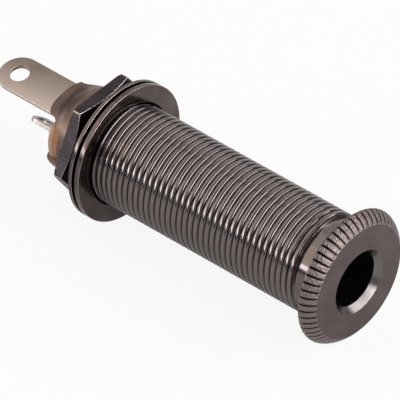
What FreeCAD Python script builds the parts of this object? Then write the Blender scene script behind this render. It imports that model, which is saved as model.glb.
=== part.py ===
"""Long-bushing three-conductor 6.35 mm jack socket.

The axis is X with the plug entry toward +X, and Z is up as the jack lies on a
table. The origin is on the axis, in the plane of the flange's seat.
"""
import FreeCAD, Part
import math
import os
import Sketcher

os.makedirs("parts", exist_ok=True)
doc = FreeCAD.newDocument("jack")
sheet = doc.addObject("Spreadsheet::Sheet", "Sizes")

VECTOR = FreeCAD.Vector
ORIGIN = (-1, 1)


# Driving dimensions, in mm and degrees
SIZES = {
    # Bushing: flange, relief and thread
    "flange_lip": 2.0,
    "flange_thick": 2.3,
    "rim_round": 1.25,
    "seat_bevel": 0.8,
    "knurl_grooves": 56,
    "knurl_width": 0.3,
    "knurl_depth": 0.28,
    "thread_dia": 11.906,
    "thread_bevel": 0.4,
    "relief_depth": 0.45,
    "relief_len": 1.85,
    "relief_bevel": 0.5,
    # Bushing: bore, chamber and the socket for the insulator stack
    "bore_dia": 6.5,
    "bore_end": 15.0,
    "entry_bevel": 0.6,
    "entry_depth": 0.75,
    "chamber_wall": 1.553,
    "chamber_length": 19.5,
    "skirt_step": 0.703,
    "stack_cover": 1.6,
    "skirt_wall": 0.5,
    "stack_proud": 1.75,
    # Crimped skirt: one broad tab over the sleeve lug, two narrow ones
    "tab_turn": 103,
    "tab_half_angle": 50,
    "tab_depth": 0.15,
    "tab_slope": 2.35,
    "tab_tongue": 0.8,
    "notch_width": 0.8,
    "clip_angle": 120,
    "clip_width": 3.2,
    "clip_reach": 1.25,
    "clip_lap": 0.2,
    # Insulator stack
    "wafer_play": 0.05,
    "wafer_front_thick": 1.2,
    "wafer_middle_thick": 2.2,
    "wafer_rear_thick": 0.5,
    "slot_gap": 0.03,
    "liner_wall": 0.25,
    "liner_gap": 0.03,
    "liner_play": 0.1,
    # Sleeve terminal
    "plate_thick": 0.5,
    "plate_gap": 1.0,
    "sleeve_lug_width": 4.9,
    "sleeve_lug_sink": 1.1,
    "sleeve_lug_length": 10.3,
    "sleeve_eye_dia": 2.25,
    "seat_gap": 0.05,
    # Tip and ring terminals
    "tip_angle": 137,
    "ring_angle": 110,
    "lug_width": 2.4,
    "lug_thick": 0.5,
    "lug_height": 1.45,
    "lug_reach": 2.2,
    "lug_length": 5.7,
    "lug_eye_wall": 0.6,
    "lug_eye_length": 2.0,
    "lug_eye_inset": 1.2,
    "ear_overhang": 0.3,
    "ear_length": 0.8,
    # Leaf springs
    "leaf_width": 2.2,
    "leaf_thick": 0.3,
    "leaf_lap": 1.9,
    "leaf_gap": 0.02,
    "leaf_headroom": 0.7,
    "leaf_knee_play": 0.1,
    "leaf_ramp": 2.8,
    "crest_drop": 0.32,
    "crest_half": 0.85,
    "leaf_lip": 0.7,
    "tip_arm": 6.6,
    "ring_arm": 12.1,
    # Nut and washers
    "washer_play": 0.2,
    "washer_width": 2.1,
    "front_washer_thick": 0.6,
    "rear_washer_thick": 0.45,
    "lock_washer_thick": 0.45,
    "lock_tooth_length": 0.5,
    "lock_ring_width": 0.55,
    "lock_teeth": 12,
    "lock_slot_width": 1.5,
    "nut_setback": 0.8,
    "nut_thick": 2.7,
    "nut_collar": 1.15,
    "nut_collar_wall": 0.5,
    "nut_wall": 0.75,
    "nut_turn": 35,
    "nut_face_width": 0.6,
    "nut_back_width": 1.6,
    "nut_bevel_slope": 0.45,
    "nut_play": 0.05,
    "nut_lead_bevel": 0.2,
}

for row, (alias, number) in enumerate(SIZES.items(), 1):
    sheet.set("A%d" % row, alias)
    sheet.set("B%d" % row, str(number))
    sheet.setAlias("B%d" % row, alias)
doc.recompute()

DERIVED = {}


def spell_out(expr, rename):
    """Expression with each of its words passed through rename."""
    out = ""
    word = ""
    for char in expr + " ":
        if char.isalnum() or char == "_":
            word += char
            continue
        out += rename(word) + char
        word = ""
    return out.strip()


def derive(name, expr):
    """Name a size that follows from others: what fits, seats or lines up."""
    DERIVED[name] = "(%s)" % spell_out(expr, lambda word: DERIVED.get(word, word))


def value(expr):
    """Number that an expression over the named sizes gives."""
    number = sheet.evalExpression(spell_out(expr, lambda word: DERIVED.get(word, word)))
    return float(getattr(number, "Value", number))


def sheet_expr(expr):
    """The same expression as another object has to write it."""
    driven = spell_out(expr, lambda word: DERIVED.get(word, word))
    return spell_out(driven, lambda word: "Sizes." + word if word in SIZES else word)


# Bushing, from the front to the rear
derive("flange_dia", "thread_dia + 2 * flange_lip")
derive("relief_dia", "thread_dia - 2 * relief_depth")
derive("entry_dia", "bore_dia + 2 * entry_bevel")
derive("chamber_dia", "thread_dia - 2 * chamber_wall")
derive("stack_seat", "bore_end + chamber_length")
derive("thread_end", "stack_seat + stack_cover")
derive("skirt_dia", "thread_dia - 2 * skirt_step")
derive("skirt_bore", "skirt_dia - 2 * skirt_wall")
derive("stack_end", "stack_seat + plate_thick + wafer_front_thick + wafer_middle_thick + wafer_rear_thick")
derive("skirt_end", "stack_end - stack_proud")
derive("tab_root", "skirt_end - tab_depth")
derive("tab_flat", "skirt_end + tab_slope")
derive("tab_end", "tab_flat + tab_tongue")
derive("clip_end", "stack_end + skirt_wall")
# Insulators and terminals
derive("liner_dia", "chamber_dia - 2 * liner_gap")
derive("wafer_dia", "skirt_bore - 2 * wafer_play")
derive("plate_back", "stack_seat + plate_thick")
derive("plate_bore", "2 * sqrt((lug_height + lug_thick) ^ 2 + (lug_width / 2) ^ 2) + 2 * plate_gap")
derive("sleeve_lug_height", "skirt_bore / 2 - sleeve_lug_sink")
derive("sleeve_lug_low", "sleeve_lug_height - plate_thick")
derive("sleeve_lug_end", "stack_end + sleeve_lug_length")
derive("sleeve_eye_at", "sleeve_lug_end - sleeve_lug_width / 2")
derive("tip_turn", "tab_turn + tip_angle")
derive("ring_turn", "tip_turn + ring_angle")
derive("middle_front", "plate_back + wafer_front_thick")
derive("ear_back", "middle_front + ear_length")
derive("ear_width", "lug_width + 2 * ear_overhang")
derive("lug_front", "stack_seat - lug_reach")
derive("lug_end", "stack_end + lug_length")
derive("lug_nose", "lug_end - lug_width / 2")
derive("lug_eye_width", "lug_width - 2 * lug_eye_wall")
derive("lug_eye_far", "lug_end - lug_eye_inset")
derive("lug_eye_near", "lug_eye_far - lug_eye_length + lug_eye_width")
# Leaf springs
derive("leaf_low", "lug_height + lug_thick + leaf_gap")
derive("leaf_roof", "sqrt((liner_dia / 2 - liner_wall) ^ 2 - (leaf_width / 2) ^ 2)")
derive("leaf_high", "leaf_roof - leaf_thick - leaf_headroom")
derive("leaf_heel", "lug_front + leaf_lap")
derive("leaf_knee", "lug_front - leaf_knee_play")
derive("tip_crest", "lug_front - tip_arm")
derive("ring_crest", "lug_front - ring_arm")
# Nut and washers
derive("washer_bore", "thread_dia + 2 * washer_play")
derive("washer_dia", "washer_bore + 2 * washer_width")
derive("lock_tooth_root", "washer_bore + 2 * lock_tooth_length")
derive("lock_washer_dia", "lock_tooth_root + 2 * lock_ring_width")
derive("nut_bore", "thread_dia + 2 * nut_play")
derive("nut_flats", "nut_bore + 2 * nut_wall")
derive("nut_face_dia", "nut_bore + 2 * nut_face_width")
derive("nut_back_dia", "nut_bore + 2 * nut_back_width")
derive("nut_back", "thread_end - nut_setback")
derive("nut_front", "nut_back - nut_thick")
derive("nut_hex_thick", "nut_thick - nut_collar")
derive("nut_collar_dia", "nut_bore + 2 * nut_collar_wall")
derive("lock_washer_back", "nut_front - rear_washer_thick")
derive("front_washer_back", "lock_washer_back - lock_washer_thick")


def bind(obj, prop, expr):
    """Tie a property to the sheet."""
    obj.setExpression(prop, sheet_expr(expr))


def add(kind, name):
    """New object whose label is its name."""
    obj = doc.addObject(kind, name)
    obj.Label = name
    return obj


def rod(name, start, length, dia):
    """Cylinder along X from x = start toward +X."""
    obj = add("Part::Cylinder", name)
    obj.Placement = FreeCAD.Placement(VECTOR(), FreeCAD.Rotation(VECTOR(0, 1, 0), 90))
    bind(obj, "Radius", "(%s) / 2" % dia)
    bind(obj, "Height", length)
    bind(obj, "Placement.Base.x", start)
    return obj


def taper(name, start, length, dia_low, dia_high):
    """Cone along X from x = start toward +X."""
    obj = add("Part::Cone", name)
    obj.Placement = FreeCAD.Placement(VECTOR(), FreeCAD.Rotation(VECTOR(0, 1, 0), 90))
    bind(obj, "Radius1", "(%s) / 2" % dia_low)
    bind(obj, "Radius2", "(%s) / 2" % dia_high)
    bind(obj, "Height", length)
    bind(obj, "Placement.Base.x", start)
    return obj


def turn_about_axis(obj, turn, base_x, side, low):
    """Lay an object out in the plane that faces the angle turn about X."""
    obj.Placement = FreeCAD.Placement(VECTOR(), FreeCAD.Rotation(VECTOR(1, 0, 0), value(turn) - 90))
    bind(obj, "Placement.Rotation.Angle", "(%s) - 90" % turn)
    bind(obj, "Placement.Base.x", base_x)
    bind(obj, "Placement.Base.y", "(%s) * sin(%s) + (%s) * cos(%s)" % (side, turn, low, turn))
    bind(obj, "Placement.Base.z", "(%s) * sin(%s) - (%s) * cos(%s)" % (low, turn, side, turn))


def slab(name, turn, start, length, width, low, height, side="0"):
    """Flat bar along X that faces the angle turn, its inner face at radius low."""
    obj = add("Part::Box", name)
    bind(obj, "Length", length)
    bind(obj, "Width", width)
    bind(obj, "Height", height)
    turn_about_axis(obj, turn, start, "(%s) - (%s) / 2" % (side, width), low)
    return obj


def stud(name, turn, at_x, dia, low, height):
    """Round bar that points away from the axis at the angle turn."""
    obj = add("Part::Cylinder", name)
    bind(obj, "Radius", "(%s) / 2" % dia)
    bind(obj, "Height", height)
    turn_about_axis(obj, turn, at_x, "0", low)
    return obj


def fuse(name, *parts):
    """Union of parts."""
    obj = add("Part::MultiFuse", name)
    obj.Shapes = list(parts)
    obj.Refine = True
    return obj


def cut(name, base, *tools):
    """Base with the tools taken away."""
    obj = add("Part::Cut", name)
    obj.Base = base
    obj.Tool = tools[0] if len(tools) == 1 else fuse(name + "_tools", *tools)
    obj.Refine = True
    return obj


def common(name, *parts):
    """What the parts share."""
    obj = add("Part::MultiCommon", name)
    obj.Shapes = list(parts)
    obj.Refine = True
    return obj


def outline(name, rotation, corners, arcs=None):
    """Closed sketch through corners given as expressions.

    arcs maps a side's number to (radius, centre x, centre y): that side is an
    arc about the centre, and its radius is bound to the sheet.
    """
    arcs = arcs or {}
    sketch = add("Sketcher::SketchObject", name)
    sketch.Placement = FreeCAD.Placement(VECTOR(), rotation)
    points = [VECTOR(value(x), value(y), 0) for x, y in corners]
    ends = []
    for side, start in enumerate(points):
        stop = points[(side + 1) % len(points)]
        if side not in arcs:
            edge = sketch.addGeometry(Part.LineSegment(start, stop), False)
            ends.append((edge, 1, 2))
            continue
        radius, centre_x, centre_y = arcs[side]
        centre = VECTOR(value(centre_x), value(centre_y), 0)
        begin = math.atan2(start.y - centre.y, start.x - centre.x)
        finish = math.atan2(stop.y - centre.y, stop.x - centre.x)
        forward = (finish - begin) % (2 * math.pi) < math.pi
        circle = Part.Circle(centre, VECTOR(0, 0, 1), value(radius))
        span = (begin, finish) if forward else (finish, begin)
        edge = sketch.addGeometry(Part.ArcOfCircle(circle, *span), False)
        ends.append((edge, 1, 2) if forward else (edge, 2, 1))
    for side, (edge, _, last) in enumerate(ends):
        following, first, _ = ends[(side + 1) % len(ends)]
        sketch.addConstraint(Sketcher.Constraint("Coincident", edge, last, following, first))
    for side, (edge, first, _) in enumerate(ends):
        for kind, expr, here in (("DistanceX", corners[side][0], points[side].x),
                                 ("DistanceY", corners[side][1], points[side].y)):
            rule = Sketcher.Constraint(kind, ORIGIN[0], ORIGIN[1], edge, first, here)
            index = sketch.addConstraint(rule)
            bind(sketch, "Constraints[%d]" % index, expr)
    for side, (radius, _, _) in arcs.items():
        index = sketch.addConstraint(Sketcher.Constraint("Radius", ends[side][0], value(radius)))
        bind(sketch, "Constraints[%d]" % index, radius)
    return sketch


SIDE_VIEW = FreeCAD.Rotation(VECTOR(1, 0, 0), 90)
END_VIEW = FreeCAD.Rotation(VECTOR(1, 1, 1), 120)


def lathe(name, corners, arcs=None):
    """Solid of revolution about X from (x, radius) corners."""
    obj = add("Part::Revolution", name)
    obj.Source = outline(name + "_profile", SIDE_VIEW, corners, arcs)
    obj.Axis = VECTOR(1, 0, 0)
    obj.Angle = 360
    obj.Solid = True
    return obj


# Bushing, turned in one piece from bar: flange with a rounded rim, relief
# groove, plain envelope of the thread, then the thin skirt at the rear
blank = lathe("barrel_blank", [
    ("flange_thick", "0"),
    ("flange_thick", "flange_dia / 2 - rim_round"),
    ("flange_thick - rim_round * (1 - cos(30))", "flange_dia / 2 - rim_round * (1 - sin(30))"),
    ("flange_thick - rim_round * (1 - cos(60))", "flange_dia / 2 - rim_round * (1 - sin(60))"),
    ("flange_thick - rim_round", "flange_dia / 2"),
    ("seat_bevel", "flange_dia / 2"),
    ("0", "flange_dia / 2 - 1.5 * seat_bevel"),
    ("0", "relief_dia / 2 + relief_bevel"),
    ("-relief_bevel", "relief_dia / 2"),
    ("-relief_len", "relief_dia / 2"),
    ("-relief_len - thread_bevel", "thread_dia / 2"),
    ("-thread_end + thread_bevel", "thread_dia / 2"),
    ("-thread_end", "skirt_dia / 2"),
    ("-skirt_end", "skirt_dia / 2"),
    ("-skirt_end", "0"),
])

bore = rod("bore", "-skirt_end - 1", "skirt_end + flange_thick + 2", "bore_dia")
entry = taper("entry", "flange_thick - entry_depth", "entry_depth", "bore_dia", "entry_dia")
chamber = rod("chamber", "-skirt_end - 1", "skirt_end + 1 - bore_end", "chamber_dia")
socket = rod("socket", "-skirt_end - 1", "skirt_end + 1 - stack_seat", "skirt_bore")
notches = []
for mark, sign in (("left", "+"), ("right", "-")):
    wedge_sketch = outline("notch_%s_profile" % mark, FreeCAD.Rotation(), [
        ("-tab_root", "0"),
        ("-skirt_end - 0.1", "notch_width / 2"),
        ("-skirt_end - 0.1", "-notch_width / 2"),
    ])
    angle = "tab_turn %s tab_half_angle" % sign
    turn_about_axis(wedge_sketch, angle, "0", "0", "0")
    wedge = add("Part::Extrusion", "notch_%s" % mark)
    wedge.Base = wedge_sketch
    wedge.DirMode = "Normal"
    wedge.Solid = True
    bind(wedge, "LengthFwd", "skirt_dia / 2 + 1")
    notches.append(wedge)

# Knurl: V grooves across the rim's rounding, deepest at its middle
ROUND_X = "flange_thick - rim_round"
ROUND_LOW = "flange_dia / 2 - rim_round"
ACROSS = FreeCAD.Rotation(VECTOR(0, 1, 0), 45)
grooves = []
for mark in range(int(value("knurl_grooves"))):
    angle = "%d * 360 / knurl_grooves" % mark
    about = FreeCAD.Rotation(VECTOR(1, 0, 0), value(angle))
    vee = outline("groove_profile_%d" % mark, about.multiply(ACROSS).multiply(END_VIEW), [
        ("0", "rim_round - knurl_depth"),
        ("knurl_width", "rim_round + knurl_depth"),
        ("-knurl_width", "rim_round + knurl_depth"),
    ])
    bind(vee, "Placement.Base.x", ROUND_X)
    bind(vee, "Placement.Base.y", "-(%s) * sin(%s)" % (ROUND_LOW, angle))
    bind(vee, "Placement.Base.z", "(%s) * cos(%s)" % (ROUND_LOW, angle))
    groove = add("Part::Extrusion", "groove_%d" % mark)
    groove.Base = vee
    groove.DirMode = "Normal"
    groove.Solid = True
    groove.Symmetric = True
    bind(groove, "LengthFwd", "3 * rim_round")
    grooves.append(groove)

turned = cut("barrel_turned", blank, bore, entry, chamber, socket, *notches, *grooves)


def section(name, corners, arcs):
    """Section of the broad tab across the axis; Y is drawn to the right."""
    return outline(name, END_VIEW, corners, arcs)


def on_circle(radius, angle):
    """Corner on a circle about the axis."""
    return ("(%s) * cos(%s)" % (radius, angle), "(%s) * sin(%s)" % (radius, angle))


def on_flat(side, height):
    """Corner given by its offset across the tab and its height above the axis."""
    return ("(%s) * sin(tab_turn) + (%s) * cos(tab_turn)" % (side, height),
            "(%s) * sin(tab_turn) - (%s) * cos(tab_turn)" % (height, side))


# Broad tab: round where it leaves the skirt, pressed flat over the sleeve lug
LOW = "tab_turn - tab_half_angle"
HIGH = "tab_turn + tab_half_angle"
INNER = "skirt_bore / 2"
OUTER = "skirt_dia / 2"
round_end = section("tab_round", [
    on_circle(INNER, LOW),
    on_circle(INNER, HIGH),
    on_circle(OUTER, HIGH),
    on_circle(OUTER, LOW),
], {0: (INNER, "0", "0"), 2: (OUTER, "0", "0")})
bind(round_end, "Placement.Base.x", "-tab_root")
FLAT = "sleeve_lug_height"
flat_end = section("tab_flat_end", [
    on_flat("sleeve_lug_width / 2", FLAT),
    on_flat("-sleeve_lug_width / 2", FLAT),
    on_flat("-sleeve_lug_width / 2", FLAT + " + skirt_wall"),
    on_flat("sleeve_lug_width / 2", FLAT + " + skirt_wall"),
], {})
bind(flat_end, "Placement.Base.x", "-tab_flat")
tab_bend = add("Part::Loft", "tab_bend")
tab_bend.Sections = [round_end, flat_end]
tab_bend.Solid = True
tab_bend.Ruled = True
tab_tongue = slab("tab_tongue", "tab_turn", "-tab_end", "tab_end - tab_flat",
                  "sleeve_lug_width", FLAT, "skirt_wall")

# Narrow tabs, each turned in over the rear wafer
shell = cut("clip_shell",
            rod("clip_outer", "-clip_end", "clip_end - skirt_end + clip_lap", "skirt_dia"),
            rod("clip_inner", "-clip_end - 1", "clip_end - skirt_end + clip_lap + 2", "skirt_bore"))
lid = cut("clip_lid",
          rod("clip_lid_outer", "-clip_end", "skirt_wall", "skirt_dia"),
          rod("clip_lid_inner", "-clip_end - 1", "skirt_wall + 2", "skirt_bore - 2 * clip_reach"))
cap = fuse("clip_cap", shell, lid)
clips = []
for mark in (1, 2):
    sector = slab("clip_sector_%d" % mark, "tab_turn + %d * clip_angle" % mark,
                  "-clip_end - 1", "skirt_end", "clip_width", "0", "skirt_bore")
    clips.append(common("clip_%d" % mark, cap, sector))
barrel = fuse("barrel", turned, tab_bend, tab_tongue, *clips)

# Insulating liner in the chamber
liner = cut("insulating_liner",
            rod("liner_outer", "-stack_seat", "chamber_length - liner_play", "liner_dia"),
            rod("liner_inner", "-stack_seat - 1", "chamber_length + 2",
                "liner_dia - 2 * liner_wall"))

# Sleeve terminal: a ring plate against the bushing with a lug bent off it
plate = rod("plate", "-plate_back", "plate_thick", "wafer_dia")
strip = slab("sleeve_strip", "tab_turn", "-sleeve_eye_at", "sleeve_eye_at - stack_seat",
             "sleeve_lug_width", "sleeve_lug_low", "plate_thick")
tail = stud("sleeve_tail", "tab_turn", "-sleeve_eye_at", "sleeve_lug_width",
            "sleeve_lug_low", "plate_thick")
window = rod("plate_window", "-plate_back - 1", "plate_thick + 2", "plate_bore")
plate_ring = cut("plate_ring", plate, window)
eye = stud("sleeve_eye", "tab_turn", "-sleeve_eye_at", "sleeve_eye_dia",
           "sleeve_lug_low - 1", "plate_thick + 2")
sleeve_terminal = cut("sleeve_terminal", fuse("sleeve_blank", plate_ring, strip, tail), eye)


def terminal(node, turn):
    """Straight lug through the stack, held by ears in the middle wafer."""
    body = slab(node + "_strip", turn, "-lug_nose", "lug_nose - lug_front", "lug_width",
                "lug_height", "lug_thick")
    nose = stud(node + "_nose", turn, "-lug_nose", "lug_width", "lug_height", "lug_thick")
    ears = slab(node + "_ears", turn, "-ear_back", "ear_length", "ear_width",
                "lug_height", "lug_thick")
    blank_strip = fuse(node + "_blank", body, nose, ears)
    slot = slab(node + "_slot", turn, "-lug_eye_far", "lug_eye_length - lug_eye_width",
                "lug_eye_width", "lug_height - 1", "lug_thick + 2")
    ends = [stud("%s_slot_%s" % (node, place), turn, "-lug_eye_" + place, "lug_eye_width",
                 "lug_height - 1", "lug_thick + 2") for place in ("far", "near")]
    return cut(node, blank_strip, slot, *ends)


tip_terminal = terminal("tip_terminal", "tip_turn")
ring_terminal = terminal("ring_terminal", "ring_turn")


def wafer(node, start, thick, recess):
    """Phenolic wafer: flat on the sleeve lug's side, slots for the other two."""
    disc = rod(node + "_disc", start, thick, "wafer_dia")
    flat = slab(node + "_flat", "tab_turn", start + " - 1", thick + " + 2",
                "wafer_dia + 2", "sleeve_lug_low - seat_gap", "wafer_dia")
    tools = [flat]
    for mark, turn in (("tip", "tip_turn"), ("ring", "ring_turn")):
        tools.append(slab("%s_%s_slot" % (node, mark), turn, start + " - 1", thick + " + 2",
                          "lug_width + 2 * slot_gap", "lug_height - slot_gap",
                          "lug_thick + 2 * slot_gap"))
        if recess:
            tools.append(slab("%s_%s_recess" % (node, mark), turn, "-ear_back",
                              "ear_length + 1", "ear_width + 2 * slot_gap",
                              "lug_height - slot_gap", "lug_thick + 2 * slot_gap"))
    return cut(node, disc, *tools)


front_wafer = wafer("front_wafer", "-middle_front", "wafer_front_thick", False)
middle_wafer = wafer("middle_wafer", "-middle_front - wafer_middle_thick",
                     "wafer_middle_thick", True)
rear_wafer = wafer("rear_wafer", "-stack_end", "wafer_rear_thick", False)


def leaf(node, turn, crest):
    """Leaf spring: lapped on its terminal, ramped out, with a V to the plug."""
    lower = [("-leaf_heel", "leaf_low"),
             ("-leaf_knee", "leaf_low"),
             ("-leaf_knee + leaf_ramp", "leaf_high"),
             ("-%s - crest_half" % crest, "leaf_high"),
             ("-" + crest, "leaf_high - crest_drop"),
             ("-%s + crest_half" % crest, "leaf_high"),
             ("-%s + crest_half + leaf_lip" % crest, "leaf_high")]
    upper = [(x, y + " + leaf_thick") for x, y in reversed(lower)]
    sketch = outline(node + "_profile", SIDE_VIEW, lower + upper)
    sketch.Placement = FreeCAD.Placement(VECTOR(), FreeCAD.Rotation(VECTOR(1, 0, 0), value(turn)))
    bind(sketch, "Placement.Rotation.Angle", turn)
    blade = add("Part::Extrusion", node)
    blade.Base = sketch
    blade.DirMode = "Normal"
    blade.Solid = True
    blade.Symmetric = True
    bind(blade, "LengthFwd", "leaf_width")
    return blade


tip_spring = leaf("tip_spring", "tip_turn", "tip_crest")
ring_spring = leaf("ring_spring", "ring_turn", "ring_crest")


def washer(node, start, thick, dia, hole):
    """Flat ring."""
    return cut(node, rod(node + "_disc", start, thick, dia),
               rod(node + "_hole", start + " - 1", thick + " + 2", hole))


# Washers, from the nut forward
rear_washer = washer("rear_washer", "-nut_front", "rear_washer_thick", "washer_dia", "washer_bore")
front_washer = washer("front_washer", "-front_washer_back", "front_washer_thick", "washer_dia",
                      "washer_bore")
lock_ring = washer("lock_ring", "-lock_washer_back", "lock_washer_thick", "lock_washer_dia",
                   "washer_bore")
gaps = [slab("lock_gap_%d" % tooth, "%d * 360 / lock_teeth" % tooth, "-lock_washer_back - 1",
             "lock_washer_thick + 2", "lock_slot_width", "0", "lock_tooth_root / 2")
        for tooth in range(int(value("lock_teeth")))]
lock_washer = cut("lock_washer", lock_ring, *gaps)

# Hex nut, bevelled more on the washer side, where it has a round collar
flats = [slab("nut_flats_%d" % pair, "nut_turn + %d" % (60 * pair), "-nut_back", "nut_hex_thick",
              "2 * nut_flats", "-nut_flats / 2", "nut_flats") for pair in range(3)]
face_cone = taper("nut_face_cone", "-nut_back", "nut_hex_thick",
                  "nut_face_dia + 2 * nut_hex_thick / nut_bevel_slope", "nut_face_dia")
back_cone = taper("nut_back_cone", "-nut_back", "nut_hex_thick", "nut_back_dia",
                  "nut_back_dia + 2 * nut_hex_thick / nut_bevel_slope")
hexagon = common("nut_hexagon", *flats, face_cone, back_cone)
collar = rod("nut_collar_disc", "-nut_back", "nut_thick", "nut_collar_dia")
nut_hole = rod("nut_hole", "-nut_back - 1", "nut_thick + 2", "nut_bore")
lead = taper("nut_lead", "-nut_front - nut_lead_bevel", "nut_lead_bevel", "nut_bore",
             "nut_bore + 2 * nut_lead_bevel")
hex_nut = cut("hex_nut", fuse("nut_blank", hexagon, collar), nut_hole, lead)

doc.recompute()

for obj in doc.Objects:
    broken = [state for state in obj.State if state in ("Invalid", "Error")]
    if broken:
        raise RuntimeError("%s is %s" % (obj.Label, broken))

PIECES = (barrel, liner, sleeve_terminal, tip_terminal, ring_terminal,
          front_wafer, middle_wafer, rear_wafer, tip_spring, ring_spring,
          front_washer, lock_washer, rear_washer, hex_nut)

for piece in PIECES:
    shape = piece.Shape
    if shape.isNull() or not shape.isValid() or len(shape.Solids) != 1:
        raise RuntimeError("%s is not one sound solid" % piece.Label)

for piece in PIECES:
    piece.Shape.exportStep("parts/%s.step" % piece.Label)
    box = piece.Shape.BoundBox
    print("%-18s volume %8.2f  x %.2f..%.2f  y %.2f..%.2f  z %.2f..%.2f" % (
        piece.Label, piece.Shape.Volume, box.XMin, box.XMax,
        box.YMin, box.YMax, box.ZMin, box.ZMax))
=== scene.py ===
"""Dressed model of a long-bushing stereo jack socket.

Shapes are computed as whole numpy arrays, in millimetres and in the CAD's frame: X runs along the
axis towards the flange, the origin is on the axis at the flange's seat, and Z is up. Angles about
the axis are measured from +Y towards +Z.
"""

import logging
import math
from collections.abc import Mapping, Sequence
from dataclasses import dataclass, field, replace
from enum import Enum
from functools import cache
from typing import Any

import bmesh
import bpy
import numpy as np
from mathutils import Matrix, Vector


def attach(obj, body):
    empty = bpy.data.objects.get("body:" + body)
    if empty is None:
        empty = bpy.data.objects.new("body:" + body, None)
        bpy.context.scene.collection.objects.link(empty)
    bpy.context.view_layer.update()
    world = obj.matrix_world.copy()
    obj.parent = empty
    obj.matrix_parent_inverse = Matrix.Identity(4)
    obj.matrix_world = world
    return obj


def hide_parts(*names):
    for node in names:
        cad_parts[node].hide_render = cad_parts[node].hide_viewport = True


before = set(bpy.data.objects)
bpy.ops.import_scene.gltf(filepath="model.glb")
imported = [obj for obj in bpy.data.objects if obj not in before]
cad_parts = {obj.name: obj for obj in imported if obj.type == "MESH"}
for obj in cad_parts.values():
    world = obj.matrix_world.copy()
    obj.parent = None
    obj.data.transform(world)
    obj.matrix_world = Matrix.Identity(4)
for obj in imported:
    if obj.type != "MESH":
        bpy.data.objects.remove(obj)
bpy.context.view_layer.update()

MM = 0.001
# Points nearer than this become one, and edges shorter than this go, in metres
SAME_POINT = 0.002 * MM
NO_LENGTH = 0.001 * MM
QUARTER = 0.5 * math.pi
# Distance of the lamps and the card from the jack, in metres
STAND_OFF = 0.9
# Angles in degrees: one that no edge is sharper than, and one over which a sheet's edge is rounded
NO_CREASE = 180.0
EDGE_ANGLE = 50.0
# Facets across that rounding
EDGE_STEPS = 3
WHITE = (1.0, 1.0, 1.0, 1.0)
LOG = logging.getLogger("jack_socket")

Array = np.ndarray
Colour = tuple[float, float, float, float]
Corner = tuple[float, ...]
Material = bpy.types.Material
Node = bpy.types.Node
Socket = bpy.types.NodeSocket
Span = tuple[float, float]
Tree = bpy.types.NodeTree


class Body(Enum):
    """Bodies of the frame that pieces ride on."""

    JACK = "jack"
    WASHERS = "washers"
    NUT = "nut"
    TIP_LEAF = "tip_leaf"
    RING_LEAF = "ring_leaf"


class Lay(Enum):
    """Direction of the fine marks that a tool left in a surface."""

    TURNED = "rings about the axis"
    ROLLED = "lines along the axis"
    TUMBLED = "no direction"


# Shapes


def rounded_line(corners: Sequence[Corner], steps: int = 4) -> Array:
    """Line through corners, each corner with a radius replaced by an arc.

    The arc is the part of the circle that touches both sides of the corner, and its points are
    spaced evenly by blending the two radii with sines of the turn.

    Args:
        corners: (x, y) of each corner, or (x, y, radius) of one that is rounded.
        steps: divisions of each arc.

    Returns:
        Points as an array (n, 2).
    """
    places = np.array([corner[:2] for corner in corners], float)
    line = [places[0]]
    share = np.linspace(0.0, 1.0, steps + 1)[:, None]
    for index in range(1, len(corners) - 1):
        here = places[index]
        if len(corners[index]) == 2:
            line.append(here)
            continue
        radius = corners[index][2]
        back, ahead = places[index - 1] - here, places[index + 1] - here
        back, ahead = back / np.linalg.norm(back), ahead / np.linalg.norm(ahead)
        half = 0.5 * math.acos(float(np.clip(back @ ahead, -1.0, 1.0)))
        centre = here + (back + ahead) / np.linalg.norm(back + ahead) * radius / math.sin(half)
        start = here + back * radius / math.tan(half) - centre
        stop = here + ahead * radius / math.tan(half) - centre
        turn = math.pi - 2.0 * half
        line.extend(centre + (np.sin((1.0 - share) * turn) * start
                              + np.sin(share * turn) * stop) / math.sin(turn))
    line.append(places[-1])
    return np.array(line)


def smooth_step(share: Array) -> Array:
    """Share from 0 to 1 with level ends: 3 share^2 - 2 share^3."""
    return share * share * (3.0 - 2.0 * share)


def about_axis(x: Array | float, radius: Array | float, angle: Array) -> Array:
    """Points (x, radius cos angle, radius sin angle) of arrays that broadcast together."""
    x, radius, angle = np.broadcast_arrays(x, radius, angle)
    return np.stack((x, radius * np.cos(angle), radius * np.sin(angle)), axis=-1)


def on_side(x: Array, side: Array, height: Array, turn: float) -> Array:
    """Points beside the axis, on the side of the axis that the angle turn (degrees) names.

    Args:
        x: place along the axis.
        side: offset across, at right angles to the axis.
        height: distance from the axis towards the named side.
        turn: angle about the axis, in degrees.

    Returns:
        Points as an array (..., 3).
    """
    x, side, height = np.broadcast_arrays(x, side, height)
    cos, sin = math.cos(math.radians(turn)), math.sin(math.radians(turn))
    return np.stack((x, side * sin + height * cos, height * sin - side * cos), axis=-1)


def full_turn(columns: int) -> Array:
    """Angles of evenly spaced columns about the axis, without the last that closes the ring."""
    return np.arange(columns) * (2.0 * math.pi / columns)


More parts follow.
